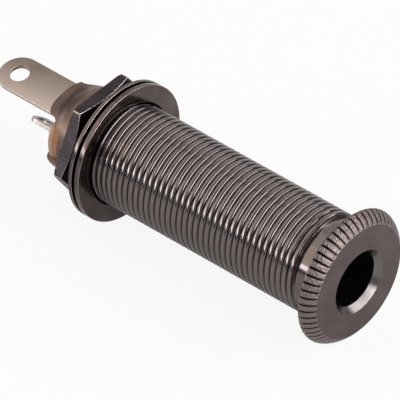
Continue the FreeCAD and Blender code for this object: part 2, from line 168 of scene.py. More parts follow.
@dataclass
class Shell:
    """Mesh being gathered from grids of points, each grid an array (rows, columns, 3)."""

    points: list[Array] = field(default_factory=list)
    quads: list[Array] = field(default_factory=list)
    wear_and_painted_light: list[Array] = field(default_factory=list)

    def add(self, grid: Array, ring: bool = False, loop: bool = False,
            wear_and_painted_light: Array | float = 0.0) -> "Shell":
        """Add a grid, whose faces look along rows cross columns.

        Args:
            grid: points, in millimetres.
            ring: whether the last column joins the first.
            loop: whether the last row joins the first.
            wear_and_painted_light: how much each point shows of the bright shade, from 0 to 1: real
                scuffing, and on the nut, the washers and the lugs also painted highlights and painted
                light.

        Returns:
            The shell itself.
        """
        rows, columns = grid.shape[:2]
        index = np.arange(rows * columns).reshape(rows, columns)
        index = index + sum(len(block) for block in self.points)
        if ring:
            index = np.concatenate((index, index[:, :1]), axis=1)
        if loop:
            index = np.concatenate((index, index[:1]), axis=0)
        quads = np.stack((index[:-1, :-1], index[1:, :-1], index[1:, 1:], index[:-1, 1:]), axis=-1)
        self.points.append(grid.reshape(-1, 3))
        self.quads.append(quads.reshape(-1, 4))
        self.wear_and_painted_light.append(np.broadcast_to(wear_and_painted_light, (rows, columns)).reshape(-1))
        return self

    def mesh(self, name: str, crease: float) -> bpy.types.Mesh:
        """Mesh of all the grids, with shared points merged and empty faces removed.

        Args:
            name: name of the mesh.
            crease: angle in degrees above which an edge is shaded sharp.

        Returns:
            The mesh, in metres.
        """
        mesh = bpy.data.meshes.new(name)
        points, quads = np.concatenate(self.points) * MM, np.concatenate(self.quads)
        mesh.from_pydata(points, [], quads, shade_flat=False)
        worn_and_lit = mesh.attributes.new("wear_and_painted_light", "FLOAT", "POINT")
        worn_and_lit.data.foreach_set("value", np.concatenate(self.wear_and_painted_light).astype(np.float32))
        edit = bmesh.new()
        edit.from_mesh(mesh)
        bmesh.ops.remove_doubles(edit, verts=edit.verts, dist=SAME_POINT)
        bmesh.ops.dissolve_degenerate(edit, dist=NO_LENGTH, edges=edit.edges)
        edit.to_mesh(mesh)
        edit.free()
        mesh.set_sharp_from_angle(angle=math.radians(crease))
        mesh.update()
        return mesh


def turned(profile: Array, wear_and_painted_light: Array | float = 0.0, loop: bool = False, columns: int = 192) -> Shell:
    """Shell of a profile (x, radius) turned about the axis."""
    grid = about_axis(profile[:, :1], profile[:, 1:], full_turn(columns))
    return Shell().add(grid, ring=True, loop=loop, wear_and_painted_light=wear_and_painted_light)


# Finishes


def linear(code: str) -> Colour:
    """Linear colour of an sRGB hex code such as "#8a7f7b"."""
    parts = (int(code[place:place + 2], 16) / 255.0 for place in (1, 3, 5))
    return (*(part / 12.92 if part <= 0.04045 else ((part + 0.055) / 1.055) ** 2.4 for part in parts), 1.0)


def feed(tree: Tree, node: Node, inputs: Mapping[int | str, Any]) -> None:
    """Link or set inputs of a node.

    Args:
        tree: node tree of the node.
        node: the node.
        inputs: a socket to link or a constant to set, for each input by name or number.
    """
    for key, given in inputs.items():
        if isinstance(given, Socket):
            tree.links.new(given, node.inputs[key])
        else:
            node.inputs[key].default_value = given


def add_node(tree: Tree, kind: str, settings: Mapping[str, Any], inputs: Mapping[int | str, Any]) -> Node:
    """Add a node.

    Args:
        tree: node tree that gets the node.
        kind: Blender's type of the node.
        settings: attributes to set on it.
        inputs: its inputs, as for feed.

    Returns:
        The node.
    """
    made = tree.nodes.new(kind)
    for name, setting in settings.items():
        setattr(made, name, setting)
    feed(tree, made, inputs)
    return made


def calculate(tree: Tree, operation: str, *terms: Socket | float, clamp: bool = False) -> Socket:
    """Result of a math node on sockets and constants."""
    return add_node(tree, "ShaderNodeMath", {"operation": operation, "use_clamp": clamp},
                    dict(enumerate(terms))).outputs[0]


def noise(tree: Tree, where: Socket, size: float, detail: float, roughness: float = 0.5,
          line: bool = False) -> Socket:
    """Noise from 0 to 1 in blotches of size mm, of a place or, on a line, of one number."""
    return add_node(tree, "ShaderNodeTexNoise", {"noise_dimensions": "1D" if line else "3D"},
                    {"W" if line else "Vector": where, "Scale": 1.0 / size, "Detail": detail,
                     "Roughness": roughness}).outputs["Fac"]


def remap(tree: Tree, given: Socket, span: Span, onto: Span = (0.0, 1.0), ease: str = "LINEAR") -> Socket:
    """Number carried over from one span onto another, and held within it."""
    return add_node(tree, "ShaderNodeMapRange", {"interpolation_type": ease},
                    {"Value": given, "From Min": span[0], "From Max": span[1],
                     "To Min": onto[0], "To Max": onto[1]}).outputs[0]


def blend(tree: Tree, share: Socket, first: Socket | Colour, second: Socket | Colour) -> Socket:
    """Colour that goes over from the first to the second with the share."""
    return add_node(tree, "ShaderNodeMix", {"data_type": "RGBA"},
                    {0: share, 6: first, 7: second}).outputs[2]


def millimetres(tree: Tree) -> Socket:
    """Object coordinates in millimetres."""
    place = add_node(tree, "ShaderNodeTexCoord", {}, {})
    return add_node(tree, "ShaderNodeVectorMath", {"operation": "SCALE"},
                    {0: place.outputs["Object"], "Scale": 1.0 / MM}).outputs[0]


def distance_along(tree: Tree, place: Socket) -> Socket:
    """How far along the axis a place lies, in millimetres."""
    return add_node(tree, "ShaderNodeVectorMath", {"operation": "DOT_PRODUCT"},
                    {0: place, 1: (1.0, 0.0, 0.0)}).outputs["Value"]


def distance_across(tree: Tree, place: Socket) -> Socket:
    """How far from the axis a place lies, in millimetres."""
    across = add_node(tree, "ShaderNodeVectorMath", {"operation": "MULTIPLY"},
                      {0: place, 1: (0.0, 1.0, 1.0)})
    return add_node(tree, "ShaderNodeVectorMath", {"operation": "LENGTH"},
                    {0: across.outputs[0]}).outputs["Value"]


def embossed(tree: Tree, height: Socket, unit: float) -> Socket:
    """Normals of a surface whose height of 1 stands for unit mm."""
    return add_node(tree, "ShaderNodeBump", {},
                    {"Height": height, "Strength": 1.0, "Distance": unit * MM}).outputs[0]


def new_material(name: str) -> tuple[Material, Tree, Node]:
    """New material.

    Args:
        name: name of the material.

    Returns:
        The material, its node tree and its principled shader.
    """
    made = bpy.data.materials.new(name)
    made.use_nodes = True
    return made, made.node_tree, made.node_tree.nodes["Principled BSDF"]


def place_object(name: str, data: bpy.types.ID) -> bpy.types.Object:
    """Put data into the scene.

    Args:
        name: name of the new object.
        data: its mesh, light or camera.

    Returns:
        The object.
    """
    made = bpy.data.objects.new(name, data)
    bpy.context.scene.collection.objects.link(made)
    return made


# The spans that most of a noise keeps within, taken wide or narrow
WIDE: Span = (0.25, 0.75)
NARROW: Span = (0.3, 0.7)


@dataclass(frozen=True)
class PlatedMetal:
    """Metal with a thin plated skin, in two close shades with the tool's marks under it.

    Attributes:
        name: what the real surface is and how it was made.
        deep, clear, bare: shades of dull plating, of clean plating, and of scuffed edges together with
            painted highlights and painted light.
        roughness, spread: middle roughness of the skin, and how far it wanders.
        lay: direction of the tool's marks.
        pitch, bump: distance between the marks and their height, in mm.
        cloud: size of the cloudy shade changes, in mm.
        crests: radii in mm between which wear fades in, or None.
        pebble, pebble_size: height and size of the pebbles that a knurling wheel leaves where wear
            is high, in mm.
        matted: roughness that full wear adds.
        patchiness: how much the marks break up the wear.
        worn_through: share of the wear that shows where the marks are lowest.
        drawn_out: how many times longer than wide rolled marks are.
    """

    name: str
    deep: str
    clear: str
    bare_and_highlight: str
    roughness: float
    spread: float
    lay: Lay
    pitch: float
    bump: float
    cloud: float = 3.0
    crests: Span | None = None
    pebble: float = 0.0
    pebble_size: float = 0.2
    matted: float = 0.0
    patchiness: float = 0.5
    worn_through: float = 0.65
    drawn_out: float = 12.0

    @cache
    def material(self) -> Material:
        """Principled metal whose colour, roughness and bump all follow procedural patterns.

        Returns:
            The material.
        """
        made, tree, skin = new_material(self.name)
        place = millimetres(tree)
        clouds = noise(tree, place, self.cloud, detail=4.0, roughness=0.6)
        marks = self.marks(tree, place)
        body = blend(tree, remap(tree, clouds, NARROW), linear(self.deep), linear(self.clear))
        # The wear attribute holds real scuffing and also painted highlights and painted light, which are
        # mixed into the colour towards the bright shade
        rubbed_and_lit = add_node(tree, "ShaderNodeAttribute", {"attribute_name": "wear_and_painted_light"}, {}).outputs["Fac"]
        if self.crests:
            high = remap(tree, distance_across(tree, place), self.crests, ease="SMOOTHSTEP")
            rubbed_and_lit = calculate(tree, "MAXIMUM", rubbed_and_lit, high)
        patchy = calculate(tree, "MULTIPLY_ADD", marks, self.patchiness, self.worn_through, clamp=True)
        worn_and_lit = calculate(tree, "MULTIPLY", rubbed_and_lit, patchy, clamp=True)
        rough = remap(tree, marks, WIDE, (self.roughness - self.spread, self.roughness + self.spread))
        matt = calculate(tree, "MULTIPLY_ADD", rubbed_and_lit, self.matted, rough, clamp=True)
        height = calculate(tree, "MULTIPLY", marks, self.bump)
        if self.pebble:
            raised = calculate(tree, "MULTIPLY", noise(tree, place, self.pebble_size, detail=2.0), rubbed_and_lit)
            height = calculate(tree, "MULTIPLY_ADD", raised, self.pebble, height)
        feed(tree, skin, {"Metallic": 1.0, "Roughness": matt, "Normal": embossed(tree, height, 1.0),
                          "Base Color": blend(tree, worn_and_lit, body, linear(self.bare_and_highlight))})
        return made

    def marks(self, tree: Tree, place: Socket) -> Socket:
        """Fine marks of the tool, from 0 to 1.

        Turned marks are noise of the one number x + radius, so they are rings both on a cylinder
        and on a face. Rolled marks are noise drawn out along X, and tumbled marks are plain noise.

        Args:
            tree: node tree to add to.
            place: place in mm.

        Returns:
            Socket with the marks.
        """
        if self.lay is Lay.TURNED:
            step = calculate(tree, "ADD", distance_along(tree, place), distance_across(tree, place))
            return noise(tree, step, self.pitch, detail=2.0, line=True)
        longer = self.drawn_out if self.lay is Lay.ROLLED else 1.0
        drawn = add_node(tree, "ShaderNodeVectorMath", {"operation": "MULTIPLY"},
                         {0: place, 1: (1.0 / longer, 1.0, 1.0)})
        return noise(tree, drawn.outputs[0], self.pitch, detail=3.0)


@dataclass(frozen=True)
class PressedBoard:
    """Paper laminate: pressed sheets that show as thin lines on the cut edge.

    Attributes:
        name: what the real surface is and how it was made.
        resin, paper: shades of the resin-rich lines and of the paper between them.
        sheet: thickness of one sheet, in mm.
        roughness, spread: middle roughness of the punched edge, and how far it wanders.
        wave, waviness: length of the sheets' waves in mm, and their height in sheets.
        fibre, fleck: length of the fibres in mm, and how strongly they show.
        relief: height of the paper over the resin, in mm.
    """

    name: str
    resin: str
    paper: str
    sheet: float
    roughness: float
    spread: float = 0.1
    wave: float = 1.0 / 0.9
    waviness: float = 1.2
    fibre: float = 1.0 / 6.0
    fleck: float = 0.7
    relief: float = 0.02

    @cache
    def material(self) -> Material:
        """Dull board, striped along the axis by its sheets and flecked by fibres.

        Returns:
            The material.
        """
        made, tree, board = new_material(self.name)
        place = millimetres(tree)
        layer = calculate(tree, "MULTIPLY_ADD", noise(tree, place, self.wave, detail=2.0),
                          self.waviness * self.sheet, distance_along(tree, place))
        sheets = noise(tree, layer, self.sheet, detail=1.0, line=True)
        fibres = noise(tree, place, self.fibre, detail=5.0, roughness=0.7)
        flecks = calculate(tree, "MULTIPLY_ADD", fibres, self.fleck, -0.5 * self.fleck, clamp=True)
        share = calculate(tree, "ADD", sheets, flecks, clamp=True)
        colour = blend(tree, remap(tree, share, NARROW), linear(self.resin), linear(self.paper))
        rough = remap(tree, fibres, NARROW, (self.roughness - self.spread, self.roughness + self.spread))
        feed(tree, board, {"Base Color": colour, "Roughness": rough,
                           "Normal": embossed(tree, share, self.relief)})
        return made


# Turned brass under dark nickel: the rings of the last cut stay as a fine sheen in the dark skin,
# and the knurling wheel leaves pebbled lands that scatter the light
FLANGE_PLATE = PlatedMetal("turned brass, dark nickel plated", "#5a4e4d", "#6b5e5d", "#7f7573",
                           0.22, 0.04, Lay.TURNED, 0.09, 0.0010, pebble=0.14, pebble_size=0.22,
                           matted=0.12)
# Bore and its entry: reamed, and kept bright by the plugs that slide through it
BORE_PLATE = PlatedMetal("reamed bore, rubbed nickel", "#686463", "#797574", "#a09b99",
                         0.24, 0.04, Lay.TURNED, 0.09, 0.0008)
# Cut thread: dull in the roots, and the crests are rubbed bright by the nut and by handling
THREAD_PLATE = PlatedMetal("cut thread, dark nickel plated", "#504848", "#615a5a", "#77706f",
                           0.15, 0.05, Lay.TURNED, 0.05, 0.0008, crests=(5.80, 5.94))
# Skirt rolled over a former: smoother and warmer than the cut faces
SKIRT_PLATE = PlatedMetal("spun brass skirt, dark nickel plated", "#655650", "#7b6a62", "#b5a59c",
                          0.38, 0.06, Lay.TUMBLED, 0.35, 0.0012)
# Barrel-plated steel nut with pitted flats: its plating is painted darker than the washers' as painted
# shade, so the flats look almost black, and its edges are painted bright, partly as rubbed wear and partly
# as painted highlights
NUT_PLATE = PlatedMetal("barrel plated nut, black nickel", "#343032", "#4a4346", "#d8d2d0",
                        0.32, 0.10, Lay.TUMBLED, 0.28, 0.035)
# Stamped washers, polished on a spindle: nearly mirror bright, with a few soft ripples in rings, and a
# painted highlight in the bright shade along the rolled front edge
WASHER_PLATE = PlatedMetal("stamped washer, black nickel", "#524948", "#6a5f5e", "#c3bbb8",
                           0.17, 0.05, Lay.TURNED, 0.35, 0.0010)
# Lock washer of spring steel, its colour darkened as painted shade, because less light gets to it between
# the flat washers
LOCK_PLATE = PlatedMetal("spring steel, dark painted shade", "#2b2828", "#3c3838", "#6f6866",
                         0.35, 0.08, Lay.TUMBLED, 0.3, 0.004)
# Broad lug of rolled nickel silver: warm, satin, with faint rolling lines along it
SLEEVE_LUG_METAL = PlatedMetal("rolled nickel silver lug", "#7f726b", "#94877f", "#cfc3bb",
                               0.32, 0.06, Lay.ROLLED, 0.12, 0.0012)
# Small lugs are tinned for solder: brighter, colder and smoother than the broad one
SMALL_LUG_METAL = PlatedMetal("hot tinned brass lug", "#827d7c", "#a09b9a", "#cbc7c6",
                              0.24, 0.06, Lay.TUMBLED, 0.5, 0.004)
# Leaf springs of rolled phosphor bronze under thin nickel
LEAF_METAL = PlatedMetal("nickel plated phosphor bronze", "#9a8a78", "#b9a994", "#ddd0bd",
                         0.28, 0.05, Lay.ROLLED, 0.12, 0.0015)
# Middle and front wafers: orange-brown phenolic paper
WAFER_BOARD = PressedBoard("punched phenolic paper board", "#7b4b31", "#b1835f", 0.16, 0.55)
# Rear wafer: unfilled tan paper board, paler than the others
REAR_BOARD = PressedBoard("punched fish paper board", "#95725c", "#c6a590", 0.12, 0.62)
# Liner: a rolled strip of dark insulating paper
LINER_PAPER = PressedBoard("rolled insulating paper", "#2a211c", "#463a32", 0.3, 0.7)


Finish = PlatedMetal | PressedBoard


def add_piece(name: str, shell: Shell, finish: Finish, body: Body, stands_for: Sequence[str],
              slot: str, crease: float = 38.0, thick: float = 0.0, edge: float = 0.0) -> None:
    """Make a piece, seat it on its body and give it its finish.

    Args:
        name: name of the piece.
        shell: its grids.
        finish: its finish.
        body: body it rides on.
        stands_for: CAD nodes that it replaces.
        slot: material slot of the record; not used.
        crease: angle in degrees above which an edge of a closed shell is shaded sharp.
        thick: thickness in mm given to a sheet, half to each side, or 0 for a closed shell.
        edge: width in mm of the rounding on a sheet's edges.
    """
    mesh = shell.mesh(name, NO_CREASE if thick else crease)
    mesh.materials.append(finish.material())
    made = place_object(name, mesh)
    if thick:
        wall = made.modifiers.new("sheet thickness", "SOLIDIFY")
        wall.thickness, wall.offset, wall.use_even_offset = thick * MM, 0.0, True
        rounding = made.modifiers.new("rounded edges", "BEVEL")
        rounding.width, rounding.segments = edge * MM, EDGE_STEPS
        rounding.limit_method, rounding.angle_limit = "ANGLE", math.radians(EDGE_ANGLE)
        rounding.harden_normals = True
    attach(made, body.value)
    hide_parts(*stands_for)
    LOG.info("made %s: %d points on body %s", name, len(mesh.vertices), body.value)


def keep(node: str, finish: Finish) -> None:
    """Give a carried-over CAD node a finish.

    Args:
        node: name of the node.
        finish: its finish.
    """
    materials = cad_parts[node].data.materials
    materials.clear()
    materials.append(finish.material())
    LOG.info("kept %s", node)


# Sub-assemblies


@dataclass(frozen=True)
class Bushing:
    """Turned bushing: knurled flange, relief groove, thread, bore, chamber and crimped skirt."""

    thread_radius: float = 5.953
    pitch: float = 0.79375
    crest_width: float = 0.455
    crest_round: float = 0.28
    root_width: float = 0.05
    root_round: float = 0.05
    thread_depth: float = 0.25
    thread_columns: int = 96
    end_steps: int = 24
    end_turns: int = 5
    snap: float = 0.02
    groove_wear: float = 0.75
    wear_lead: float = 0.1
    thread_crease: float = 75.0
    flank_angle: float = 30.0
    thread_start: float = 0.13
    thread_front: float = -2.45
    thread_rear: float = -35.7
    thread_end: float = -36.1
    relief_radius: float = 5.503
    relief_front: float = -0.5
    relief_end: float = -2.0
    groove_joint: float = -0.6
    core_radius: float = 5.2
    face_skin: float = 0.4
    skirt_radius: float = 5.25
    skirt_wall: float = 0.5
    skirt_edge: float = 0.12
    flange_radius: float = 7.953
    flange_thick: float = 2.3
    rim_round: float = 1.25
    rim_depth: float = 1.5
    rim_crown: float = 0.17
    rim_steps: int = 22
    rim_lead: float = 0.05
    rim_gap: float = 0.06
    seat_bevel: float = 0.52
    seat_drop: float = 1.2
    bevel_round: float = 0.14
    seat_round: float = 0.05
    knurl_end: float = 0.62
    bore_radius: float = 3.25
    entry_radius: float = 3.85
    entry_depth: float = 0.75
    entry_round: float = 0.06
    bore_end: float = -15.0
    chamber_radius: float = 4.4
    stack_seat: float = -34.5
    stack_radius: float = 4.75
    knurl_count: int = 56
    knurl_depth: float = 0.16
    knurl_half_width: float = 0.11
    knurl_columns: tuple[float, ...] = (-0.5, -0.36, -0.24, -0.17, -0.12, -0.075, -0.035, 0.0,
                                        0.035, 0.075, 0.12, 0.17, 0.24, 0.36)
    knurl_fades: tuple[float, ...] = (0.04, 0.26, 1.60, 1.70)
    knurl_runout: Span = (0.02, 0.06)
    land_edge: float = 0.05
    tab_turn: float = 103.0
    tab_half_angle: float = 50.0
    tab_root: float = -37.0
    tab_flat: float = -39.5
    tab_end: float = -40.3
    tab_corner: float = 0.65
    tab_half_width: float = 2.6
    tab_height: float = 3.9
    skirt_end: float = -37.15
    notch_half_width: float = 0.4
    clip_half_width: float = 1.6
    clip_end: float = -39.15
    clip_reach: float = 3.5
    clip_bend: float = 0.5
    lap: float = 0.1
    clip_places: Span = (120.0, 240.0)
    ring_rows: int = 5
    notch_rows: int = 4
    tab_rows: int = 21
    tab_columns: int = 61
    rear_columns: tuple[int, ...] = (30, 25, 40, 25, 30)

    def build(self) -> None:
        """Make the bushing's four pieces, which together replace the plain barrel.

        The bore, the flange and the thread meet at a core radius inside the wall, which closes
        each of them.
        """
        for name, shell, finish, settings in (
                ("bushing_bore", self.bore(), BORE_PLATE, {}),
                ("bushing_flange", self.flange(), FLANGE_PLATE, {}),
                ("bushing_thread", self.thread(), THREAD_PLATE, {"crease": self.thread_crease}),
                ("bushing_skirt", self.skirt(), SKIRT_PLATE,
                 {"thick": self.skirt_wall, "edge": self.skirt_edge})):
            add_piece(name, shell, finish, Body.JACK, ["barrel"], "bushing", **settings)

    def bore(self) -> Shell:
        """Chamber, bore and its bevelled entry: one profile turned about the axis.

        Returns:
            The closed shell.
        """
        front = self.flange_thick
        profile = rounded_line([
            (self.thread_end, self.stack_radius),
            (self.stack_seat, self.stack_radius),
            (self.stack_seat, self.chamber_radius),
            (self.bore_end, self.chamber_radius),
            (self.bore_end, self.bore_radius),
            (front - self.entry_depth, self.bore_radius, self.entry_round),
            (front, self.entry_radius),
            (front - self.face_skin, self.core_radius),
            (self.thread_end, self.core_radius),
        ])
        return turned(profile, loop=True)

    def flange(self) -> Shell:
        """Face, knurled rim and seat: one profile turned about the axis, with the knurl cut in.

        The profile runs from the bore's entry out over the face and the crowned rim, and back to
        the relief groove. The rim is a straight bevel raised by a parabola, 4 crown s (1 - s) at
        the share s of its length. Each of the evenly spaced grooves is a V that narrows in
        proportion to its depth. The depth fades in and out with the way that each row faces, from
        0 forwards over a quarter turn outwards to a half turn back.

        Returns:
            The closed shell.
        """
        front, rim = self.flange_thick, self.flange_radius
        inside = np.array([(front, self.entry_radius), (front, rim - self.rim_round - self.rim_lead)])
        along = np.linspace(0.0, 1.0, self.rim_steps)
        raised = (4.0 * self.rim_crown / math.hypot(self.rim_depth, self.rim_round)
                  * along * (1.0 - along))
        rounding = np.stack((front - self.rim_depth * along + self.rim_round * raised,
                             rim - self.rim_round * (1.0 - along) + self.rim_depth * raised), axis=-1)
        outside = rounded_line([
            (self.knurl_end + self.rim_gap, rim),
            (self.knurl_end, rim),
            (self.seat_bevel, rim, self.bevel_round),
            (0.0, rim - self.seat_drop, self.seat_round),
            (0.0, self.relief_radius - self.relief_front),
            (self.relief_front, self.relief_radius),
            (self.groove_joint, self.relief_radius),
            (self.groove_joint, self.core_radius),
            (front - self.face_skin, self.core_radius),
        ])
        profile = np.concatenate((inside, rounding, outside))
        facing = np.concatenate((np.zeros(len(inside)), QUARTER * along,
                                 QUARTER + np.array(self.knurl_runout),
                                 np.full(len(outside) - 2, math.pi)))
        between = 2.0 * math.pi / self.knurl_count
        columns = np.array(self.knurl_columns)
        angle = ((np.arange(self.knurl_count)[:, None] + columns) * between).ravel()
        off_centre = np.tile(np.abs(columns) * between * rim, self.knurl_count)
        fade = smooth_step(np.interp(facing, self.knurl_fades, (0.0, 1.0, 1.0, 0.0)))[:, None]
        half = self.knurl_half_width
        cut = self.knurl_depth * np.clip(fade - off_centre / half, 0.0, None)
        lean = np.clip(facing, 0.0, QUARTER)[:, None]
        land = np.clip((off_centre - half) / self.land_edge, 0.0, 1.0)
        grid = about_axis(profile[:, :1] - cut * np.cos(lean), profile[:, 1:] - cut * np.sin(lean), angle)
        return Shell().add(grid, ring=True, loop=True, wear_and_painted_light=land * (fade > 0.0))

    def thread(self) -> Shell:
        """Right-hand thread with the relief groove ahead of it.

        The rows follow the helix: at phase s and turn t = angle / 2 pi, x = start + pitch (s + t).
        The radius repeats with s as a rounded trapezium, and is held down by the bevels at both
        ends, where even rows are added. In the turn between them and the rest, each added row goes over
        to the nearest row of the tooth, s = begin + t (close - begin). Where x would leave the
        thread's length it stays at the end, and the doubled points merge.

        Returns:
            The closed shell.
        """
        top, bottom = self.thread_radius, self.thread_radius - self.thread_depth
        flank = self.thread_depth * math.tan(math.radians(self.flank_angle))
        crest, root = 0.5 * self.crest_width, self.root_width
        total = self.crest_width + root + 2.0 * flank
        tooth = rounded_line([
            (0.0, top),
            (crest, top, self.crest_round),
            (crest + flank, bottom, self.root_round),
            (crest + flank + root, bottom, self.root_round),
            (total - crest, top, self.crest_round),
            (total, top),
        ], steps=3)
        tooth[:, 0] *= 1.0 / total
        turn = np.linspace(0.0, 1.0, self.thread_columns + 1)
        turns = np.arange(math.floor(self.thread_end / self.pitch) - 2,
                          math.ceil(self.groove_joint / self.pitch) + 1)
        even = np.arange(self.end_steps) / self.end_steps
        near = tooth[np.abs(tooth[:, :1] - even).argmin(axis=0), 0]
        rear, ahead = turns[self.end_turns], turns[-self.end_turns - 1]
        common = np.concatenate([(whole[:, None] + rows).ravel() for whole, rows in (
            (turns, tooth[:-1, 0]), (turns[turns < rear], even), (turns[turns > ahead], even))])
        begin = np.concatenate((common, rear + even, ahead + near))
        close = np.concatenate((common, rear + near, ahead + even))
        order = np.argsort(-(begin + close), kind="stable")
        begin, close = begin[order][:, None], close[order][:, None]
        x = self.pitch * (begin + turn * (close - begin) + turn) + self.thread_start
        x = np.clip(x, self.thread_end, self.groove_joint)
        radius = np.interp(((x - self.thread_start) / self.pitch - turn) % 1.0, tooth[:, 0], tooth[:, 1])
        held = np.interp(x, [self.thread_end, self.thread_rear, self.thread_front, self.relief_end],
                         [self.skirt_radius, top, top, self.relief_radius])
        radius = np.minimum(radius, held)
        radius = np.where(x > self.relief_end - self.snap, self.relief_radius, radius)
        radius = np.where(x < self.thread_end + self.snap, self.skirt_radius, radius)
        x = np.pad(x, ((1, 1), (0, 0)), mode="edge")
        radius = np.pad(radius, ((1, 1), (0, 0)), constant_values=self.core_radius)
        wear_and_painted_light = np.where(x > self.relief_end - self.wear_lead, self.groove_wear, 0.0)
        return Shell().add(about_axis(x, radius, 2.0 * math.pi * turn), loop=True, wear_and_painted_light=wear_and_painted_light)

    def skirt(self) -> Shell:
        """Thin skirt with its two notches, its broad tab and its two clips, as one sheet.

        The ring is a cylinder whose rear edge rises in a V at each notch, and the tab and the clips
        carry it on.

        Returns:
            The middle of the sheet.
        """
        middle = self.skirt_radius - 0.5 * self.skirt_wall
        low = math.radians(self.tab_turn - self.tab_half_angle)
        high = math.radians(self.tab_turn + self.tab_half_angle)
        over = np.linspace(low, high, self.tab_columns)
        clips = [math.radians(self.tab_turn + place) for place in self.clip_places]
        half = math.asin(self.clip_half_width / middle)
        marks = [high, *(turn + way * half for turn in clips for way in (-1.0, 1.0)), low + 2.0 * math.pi]
        spans = [np.linspace(*ends) for ends in zip(marks, marks[1:], self.rear_columns)]
        rest = np.concatenate([spans[0]] + [span[1:] for span in spans[1:]])
        shell = Shell()
        rows = np.linspace(self.thread_end + self.lap, self.tab_root, self.ring_rows)[:, None]
        shell.add(about_axis(rows, middle, np.concatenate((over, rest[1:]))))
        nearest = np.minimum(rest - high, low + 2.0 * math.pi - rest)
        share = np.clip(nearest * middle / self.notch_half_width, 0.0, 1.0)
        edge = self.tab_root + (self.skirt_end - self.tab_root) * share
        down = np.linspace(0.0, 1.0, self.notch_rows)[:, None]
        rows = self.tab_root + (edge - self.tab_root) * down
        shell.add(about_axis(rows, middle, rest))
        shell.add(self.tab(over, middle))
        for turn, span in zip(clips, (spans[1], spans[3])):
            shell.add(self.clip(turn, span, middle))
        return shell

    def tab(self, over: Array, middle: float) -> Array:
        """Broad tab: the skirt's arc goes over by a smooth step into the flat tongue on the lug.

        Args:
            over: angles of the columns about the axis.
            middle: radius of the middle of the skirt's wall.

        Returns:
            Grid of points.
        """
        offset = over - math.radians(self.tab_turn)
        side = offset / math.radians(self.tab_half_angle)
        end = self.tab_end + self.tab_corner * np.abs(side) ** 3
        down = np.linspace(0.0, 1.0, self.tab_rows)[:, None]
        x = self.tab_root + (end - self.tab_root) * down
        length = np.clip((self.tab_root - x) / (self.tab_root - self.tab_flat), 0.0, 1.0)
        share = smooth_step(length)
        across = -(1.0 - share) * middle * np.sin(offset) - share * self.tab_half_width * side
        height = (1.0 - share) * middle * np.cos(offset) + share * self.tab_height
        return on_side(x, across, height, self.tab_turn)

    def clip(self, turn: float, span: Array, middle: float) -> Array:
        """Narrow clip: its profile runs back from the skirt and in over the wafers.

        Args:
            turn: angle of the clip's middle about the axis.
            span: angles of its columns.
            middle: radius of the middle of the skirt's wall.

        Returns:
            Grid of points.
        """
        profile = rounded_line([
            (self.skirt_end, middle),
            (self.clip_end, middle, self.clip_bend),
            (self.clip_end, self.clip_reach),
        ], steps=6)
        side = -middle * np.sin(span - turn)
        height = np.sqrt(profile[:, 1:] ** 2 - side ** 2)
        return on_side(profile[:, :1], side, height, math.degrees(turn))


@dataclass(frozen=True)
class HexNut:
    """Hex nut whose corners are bevelled by a cone at each end."""

    front: float = -32.6
    back: float = -35.3
    face: float = -33.75
    collar_radius: float = 6.503
    flats: float = 6.753
    turn: float = 35.0
    bore: float = 6.003
    lead: float = 0.2
    face_radius: float = 6.603
    back_radius: float = 7.603
    slope: float = 0.45
    front_bevel: float = 0.7
    back_bevel: float = 0.3
    gap: float = 0.1
    rounding: float = 110.0
    rub: float = 0.06
    # Width over which the edges are painted bright, as rubbed wear and as a painted highlight
    highlit_and_rubbed_edge: float = 0.10
    crease: float = 50.0
    sides: int = 6
    rows: tuple[int, int, int] = (30, 4, 12)
    columns: int = 720

    def build(self) -> None:
        """Make the nut."""
        add_piece("nut_body", self.body(), NUT_PLATE, Body.NUT, ["hex_nut"], "nut", crease=self.crease)

    def body(self) -> Shell:
        """Nut about the axis.

        At each angle and x, every flat and both cones give a radius. They are joined as the
        p-norm of their inverses, 1 / r = (sum of (1 / r_i)^p)^(1 / p), which is the smallest of
        them with a small rounding where two are equal. Along the edges, where the two smallest
        are close, the edges are painted bright, partly as scuffing and partly as a painted highlight,
        and this ends a small way in on both end faces.

        Returns:
            The closed shell.
        """
        angle = full_turn(self.columns)
        front, back = self.face - self.front_bevel, self.back + self.back_bevel
        spans = ((self.face, front), (front - self.gap, back + self.gap), (back, self.back))
        x = np.concatenate([np.linspace(*span, rows) for span, rows in zip(spans, self.rows)])[:, None]
        normals = (np.radians(self.turn) + full_turn(self.sides))[:, None, None]
        planes = np.clip(np.cos(angle - normals), 0.0, None) / self.flats
        cones = np.stack((1.0 / (self.face_radius + (self.face - x) / self.slope),
                          1.0 / (self.back_radius + (x - self.back) / self.slope)))
        size = (len(x), len(angle))
        inverse = np.concatenate((np.broadcast_to(planes, (self.sides, *size)),
                                  np.broadcast_to(cones, (2, *size))))
        largest = inverse.max(axis=0)
        total = ((inverse / largest) ** self.rounding).sum(axis=0) ** (1.0 / self.rounding)
        radius = 1.0 / (largest * total)
        ranked = np.sort(inverse, axis=0)
        # Painted highlight along the edges, partly also rubbed wear: the bright shade where the two
        # smallest radii are close
        wear_and_painted_light = 1.0 - (1.0 / ranked[-2] - 1.0 / ranked[-1]) / self.highlit_and_rubbed_edge
        ends = np.array([
            (self.back, self.bore),
            (self.front - self.lead, self.bore),
            (self.front, self.bore + self.lead),
            (self.front, self.collar_radius),
            (self.face, self.collar_radius),
        ])
        x, radius = (np.pad(rows, ((1, 1), (0, 0)), mode="edge") for rows in (x, radius))
        radius[[0, -1]] -= self.rub
        grid = np.concatenate((about_axis(ends[:, :1], ends[:, 1:], angle), about_axis(x, radius, angle)))
        wear_and_painted_light = np.pad(np.clip(wear_and_painted_light, 0.0, 1.0), ((len(ends) + 1, 1), (0, 0)))
        return Shell().add(grid, ring=True, loop=True, wear_and_painted_light=wear_and_painted_light)


